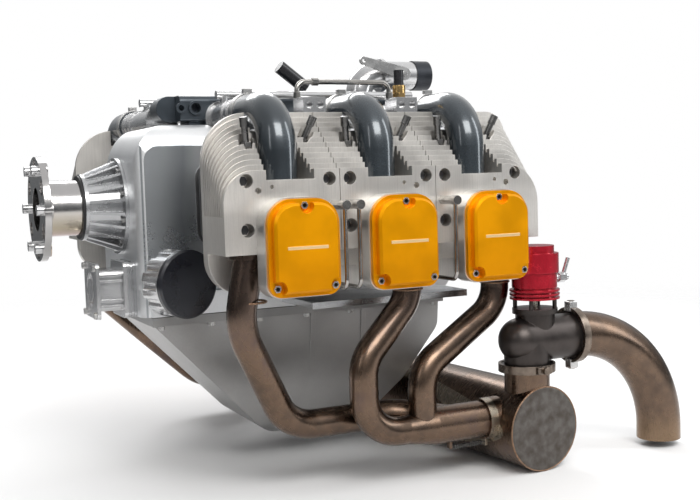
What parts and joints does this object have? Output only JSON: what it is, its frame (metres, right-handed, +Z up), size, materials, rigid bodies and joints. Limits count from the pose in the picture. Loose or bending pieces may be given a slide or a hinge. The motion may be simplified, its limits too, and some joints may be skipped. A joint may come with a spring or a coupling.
{
  "type": "flat aircraft engine",
  "caption": "Opposed-cylinder aircraft engine with terraced finned heads, ribbed nose case, deep sump, side exhaust with waste valve, and a turning propeller flange.",
  "frame": {"origin": "centre of the propeller flange's front face", "axes": "+X rearward along the crankshaft, +Y to the far bank, +Z up"},
  "size_m": [0.8685, 0.702, 0.5875],
  "materials": {
    "head_metal": "machined, light grey",
    "cover_amber": "amber anodised, satin",
    "barrel_metal": "machined fins",
    "cast_metal": "cast and machined, satin",
    "crankcase_metal": "machined, bright",
    "sump_metal": "cast, satin grey",
    "bright_metal": "machined, bright",
    "black_anodised": "black anodised, satin",
    "red_anodised": "red anodised",
    "intake_hose": "blue-grey lacquer, gloss",
    "steel": "plain steel",
    "dark_steel": "blackened steel",
    "polished_steel": "ground and polished",
    "exhaust_steel": "stainless, heat bronzed",
    "valve_metal": "heat darkened casting",
    "filter_black": "black lacquer",
    "gasket": "gasket paper",
    "seal_rubber": "oil seal",
    "brass": "plain brass"
  },
  "bodies": {
    "engine": {"actuator": "red_anodised", "actuator_fitting": "bright_metal", "cover_screws": "steel", "crankcase": "crankcase_metal", "crossover_pipe": "steel", "cylinders": "barrel_metal", "dump_pipe": "exhaust_steel", "exhaust_far_front": "exhaust_steel", "exhaust_far_middle": "exhaust_steel", "exhaust_far_rear": "exhaust_steel", "exhaust_near_front": "exhaust_steel", "exhaust_near_middle": "exhaust_steel", "exhaust_near_rear": "exhaust_steel", "exhaust_springs": "steel", "filter_cap": "filter_black", "filter_collar": "bright_metal", "front_screws": "steel", "fuel_blocks": "bright_metal", "fuel_rails": "bright_metal", "gear_housing": "bright_metal", "gear_plates": "cast_metal", "head_bolts": "dark_steel", "head_far_front": "head_metal", "head_far_middle": "head_metal", "head_far_rear": "head_metal", "head_near_front": "head_metal", "head_near_middle": "head_metal", "head_near_rear": "head_metal", "hose_clamps": "steel", "inlet_ring": "black_anodised", "intake_stubs": "bright_metal", "intake_tubes": "intake_hose", "ledges": "bright_metal", "muffler": "exhaust_steel", "nose_case": "cast_metal", "oil_pipes": "steel", "plenum": "black_anodised", "rear_cover": "cast_metal", "rocker_boxes": "head_metal", "rocker_cover_far_front": "cover_amber", "rocker_cover_far_middle": "cover_amber", "rocker_cover_far_rear": "cover_amber", "rocker_cover_near_front": "cover_amber", "rocker_cover_near_middle": "cover_amber", "rocker_cover_near_rear": "cover_amber", "sensors": "brass", "shaft_seal": "seal_rubber", "spark_plugs": "dark_steel", "sump": "sump_metal", "sump_bolts": "steel", "sump_gasket": "gasket", "throttle_body": "bright_metal", "throttle_elbow": "bright_metal", "v_bands": "steel", "valve_body": "valve_metal"},
    "crankshaft": {"propeller_shaft": "polished_steel", "flange_bushes": "dark_steel"},
    "throttle": {"throttle_spindle": "steel", "throttle_lever": "steel"},
    "waste_valve": {"valve_stem": "polished_steel"}
  },
  "joints": [
    {"name": "crankshaft_turn", "type": "hinge", "parent": "engine", "child": "crankshaft", "pos_m": [0, 0, 0], "axis": [1, 0, 0], "continuous": true},
    {"name": "throttle_turn", "type": "hinge", "parent": "engine", "child": "throttle", "pos_m": [0.548, -0.03, 0.186], "axis": [0, 1, 0], "range_deg": [0, 80]},
    {"name": "waste_valve_lift", "type": "slide", "parent": "engine", "child": "waste_valve", "axis": [0, 0, 1], "range_m": [0, 0.008], "stiffness_N_per_m": 4000, "springref_m": -0.004}
  ]
}
